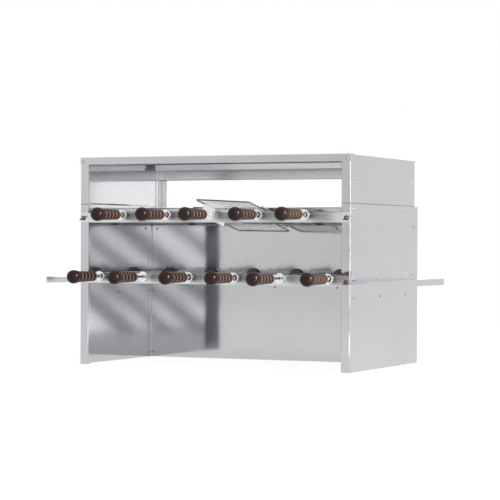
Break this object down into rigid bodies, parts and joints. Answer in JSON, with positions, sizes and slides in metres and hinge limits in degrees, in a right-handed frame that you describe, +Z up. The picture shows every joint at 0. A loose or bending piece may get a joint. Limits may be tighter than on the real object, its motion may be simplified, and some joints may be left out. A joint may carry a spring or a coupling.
{
  "type": "rotisserie oven",
  "caption": "Open-front stainless rotisserie oven: two rows of motor-driven skewers with wooden handles, a rotating grill basket, slotted front rails and side ledges.",
  "frame": {"origin": "on the floor, under the middle of the oven's whole box, from the longest handle to the rear edges", "axes": "+Z up, +X to the right seen from the front, the open front faces -Y"},
  "size_m": [1.1, 0.752, 0.611],
  "materials": {
    "panel_steel": "brushed",
    "polished_steel": "polished",
    "dark_steel": "oiled",
    "zinc": "zinc plated",
    "turned_wood": "varnished",
    "cast_aluminium": "cast",
    "black_plastic": "matte"
  },
  "bodies": {
    "cabinet": {"left_side_panel": "panel_steel", "right_side_panel": "panel_steel", "left_upper_panel": "panel_steel", "right_upper_panel": "panel_steel", "front_header": "panel_steel", "roof_panel": "panel_steel", "air_baffle": "panel_steel", "rear_window_frame": "panel_steel", "lower_rear_wall": "panel_steel", "upper_rear_wall": "panel_steel", "drive_box_cover": "panel_steel", "lower_front_rail": "polished_steel", "upper_front_rail": "polished_steel", "left_side_shelf": "panel_steel", "right_side_shelf": "panel_steel", "wing_bolt_lower_left": "zinc", "wing_bolt_lower_right": "zinc", "wing_bolt_upper_left": "zinc", "wing_bolt_upper_right": "zinc", "bearing_plate": "cast_aluminium", "drive_chain": "dark_steel", "gear_motor": "cast_aluminium", "power_inlet": "black_plastic"},
    "basket": {"basket_frame": "polished_steel", "basket_lower_grid": "polished_steel", "handle_basket": "turned_wood", "socket_basket": "dark_steel"},
    "basket_lid": {"basket_upper_grid": "polished_steel"},
    "skewer_lower_1": {"skewer_lower_1": "polished_steel", "handle_lower_1": "turned_wood", "socket_lower_1": "dark_steel"},
    "skewer_lower_2": {"skewer_lower_2": "polished_steel", "handle_lower_2": "turned_wood", "socket_lower_2": "dark_steel"},
    "skewer_lower_3": {"skewer_lower_3": "polished_steel", "handle_lower_3": "turned_wood", "socket_lower_3": "dark_steel"},
    "skewer_lower_4": {"skewer_lower_4": "polished_steel", "handle_lower_4": "turned_wood", "socket_lower_4": "dark_steel"},
    "skewer_lower_5": {"skewer_lower_5": "polished_steel", "handle_lower_5": "turned_wood", "socket_lower_5": "dark_steel"},
    "skewer_lower_6": {"skewer_lower_6": "polished_steel", "handle_lower_6": "turned_wood", "socket_lower_6": "dark_steel"},
    "skewer_upper_1": {"skewer_upper_1": "polished_steel", "handle_upper_1": "turned_wood", "socket_upper_1": "dark_steel"},
    "skewer_upper_2": {"skewer_upper_2": "polished_steel", "handle_upper_2": "turned_wood", "socket_upper_2": "dark_steel"},
    "skewer_upper_4": {"skewer_upper_4": "polished_steel", "handle_upper_4": "turned_wood", "socket_upper_4": "dark_steel"},
    "skewer_upper_5": {"skewer_upper_5": "polished_steel", "handle_upper_5": "turned_wood", "socket_upper_5": "dark_steel"},
    "motor_shaft": {"motor_sprocket": "dark_steel"},
    "switch_rocker": {"power_switch": "black_plastic"}
  },
  "joints": [
    {"name": "basket_spin", "type": "hinge", "parent": "cabinet", "child": "basket", "pos_m": [0, 0.228, 0.441], "axis": [0, 1, 0], "continuous": true},
    {"name": "basket_lid_hinge", "type": "hinge", "parent": "basket", "child": "basket_lid", "pos_m": [0.00498, 0.2365, 0.45192], "axis": [-0.91, 0, 0.4147], "range_deg": [0, 12]},
    {"name": "lower_1_spin", "type": "hinge", "parent": "cabinet", "child": "skewer_lower_1", "pos_m": [-0.36375, 0.228, 0.261], "axis": [0, 1, 0], "continuous": true},
    {"name": "lower_2_spin", "type": "hinge", "parent": "cabinet", "child": "skewer_lower_2", "pos_m": [-0.21825, 0.228, 0.261], "axis": [0, 1, 0], "continuous": true},
    {"name": "lower_3_spin", "type": "hinge", "parent": "cabinet", "child": "skewer_lower_3", "pos_m": [-0.07275, 0.228, 0.261], "axis": [0, 1, 0], "continuous": true},
    {"name": "lower_4_spin", "type": "hinge", "parent": "cabinet", "child": "skewer_lower_4", "pos_m": [0.07275, 0.228, 0.261], "axis": [0, 1, 0], "continuous": true},
    {"name": "lower_5_spin", "type": "hinge", "parent": "cabinet", "child": "skewer_lower_5", "pos_m": [0.21825, 0.228, 0.261], "axis": [0, 1, 0], "continuous": true},
    {"name": "lower_6_spin", "type": "hinge", "parent": "cabinet", "child": "skewer_lower_6", "pos_m": [0.36375, 0.228, 0.261], "axis": [0, 1, 0], "continuous": true},
    {"name": "upper_1_spin", "type": "hinge", "parent": "cabinet", "child": "skewer_upper_1", "pos_m": [-0.291, 0.228, 0.441], "axis": [0, 1, 0], "continuous": true},
    {"name": "upper_2_spin", "type": "hinge", "parent": "cabinet", "child": "skewer_upper_2", "pos_m": [-0.1455, 0.228, 0.441], "axis": [0, 1, 0], "continuous": true},
    {"name": "upper_4_spin", "type": "hinge", "parent": "cabinet", "child": "skewer_upper_4", "pos_m": [0.1455, 0.228, 0.441], "axis": [0, 1, 0], "continuous": true},
    {"name": "upper_5_spin", "type": "hinge", "parent": "cabinet", "child": "skewer_upper_5", "pos_m": [0.291, 0.228, 0.441], "axis": [0, 1, 0], "continuous": true},
    {"name": "motor_spin", "type": "hinge", "parent": "cabinet", "child": "motor_shaft", "pos_m": [0.345, 0.303, 0.352], "axis": [0, 1, 0], "continuous": true},
    {"name": "power_switch_rock", "type": "hinge", "parent": "cabinet", "child": "switch_rocker", "pos_m": [-0.3, 0.3707, 0.1345], "axis": [1, 0, 0], "range_deg": [0, 16]}
  ],
  "couplings": [
    {"joint": "lower_1_spin", "follows": "basket_spin", "ratio": 1},
    {"joint": "lower_2_spin", "follows": "basket_spin", "ratio": 1},
    {"joint": "lower_3_spin", "follows": "basket_spin", "ratio": 1},
    {"joint": "lower_4_spin", "follows": "basket_spin", "ratio": 1},
    {"joint": "lower_5_spin", "follows": "basket_spin", "ratio": 1},
    {"joint": "lower_6_spin", "follows": "basket_spin", "ratio": 1},
    {"joint": "upper_1_spin", "follows": "basket_spin", "ratio": 1},
    {"joint": "upper_2_spin", "follows": "basket_spin", "ratio": 1},
    {"joint": "upper_4_spin", "follows": "basket_spin", "ratio": 1},
    {"joint": "upper_5_spin", "follows": "basket_spin", "ratio": 1},
    {"joint": "motor_spin", "follows": "basket_spin", "ratio": 1}
  ]
}
